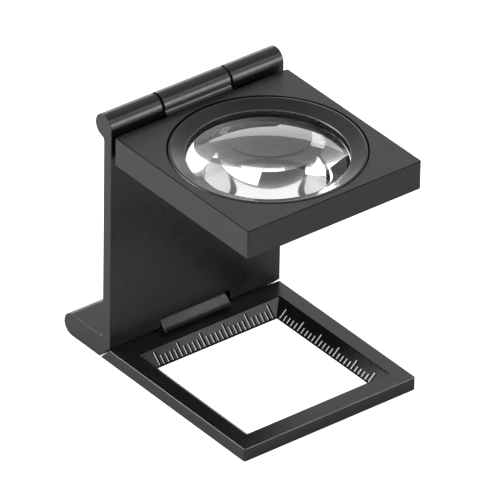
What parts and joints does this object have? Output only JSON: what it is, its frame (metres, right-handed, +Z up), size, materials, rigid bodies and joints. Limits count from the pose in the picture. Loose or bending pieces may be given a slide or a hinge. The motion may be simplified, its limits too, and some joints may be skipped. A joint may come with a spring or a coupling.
{
  "type": "folding linen tester",
  "caption": "Folding magnifier stand: base frame with a millimetre window, upright and a lens plate on two hinges.",
  "frame": {"origin": "on the standing surface, below the middle of the box round the open part", "axes": "+X along both hinges towards the graduated side wall, +Y from the lens towards the upright's back, +Z up"},
  "size_m": [0.0376, 0.0514, 0.0499],
  "materials": {
    "black_base": "satin black anodised",
    "black_upright": "satin black anodised",
    "black_plate": "satin black anodised",
    "black_bezel": "satin black anodised",
    "scale_white": "filled engraving",
    "lens_glass": "polished",
    "pin_steel": "ground",
    "washer_nylon": "matt"
  },
  "bodies": {
    "stand": {"upright": "black_upright", "top_hinge_pin": "pin_steel", "heel_hinge_pin": "pin_steel", "top_washer_left": "washer_nylon", "top_washer_right": "washer_nylon", "heel_washer_left": "washer_nylon", "heel_washer_right": "washer_nylon"},
    "base": {"base_frame": "black_base", "rear_scale_marks": "scale_white", "side_scale_marks": "scale_white"},
    "lens_leaf": {"lens_plate": "black_plate", "lens": "lens_glass", "lens_bezel": "black_bezel"}
  },
  "joints": [
    {"name": "lens_hinge", "type": "hinge", "parent": "stand", "child": "lens_leaf", "pos_m": [0, 0.01475, 0.0477], "axis": [-1, 0, 0], "range_deg": [0, 270]},
    {"name": "base_hinge", "type": "hinge", "parent": "stand", "child": "base", "pos_m": [0, 0.0235, 0.0022], "axis": [1, 0, 0], "range_deg": [0, 270]}
  ]
}
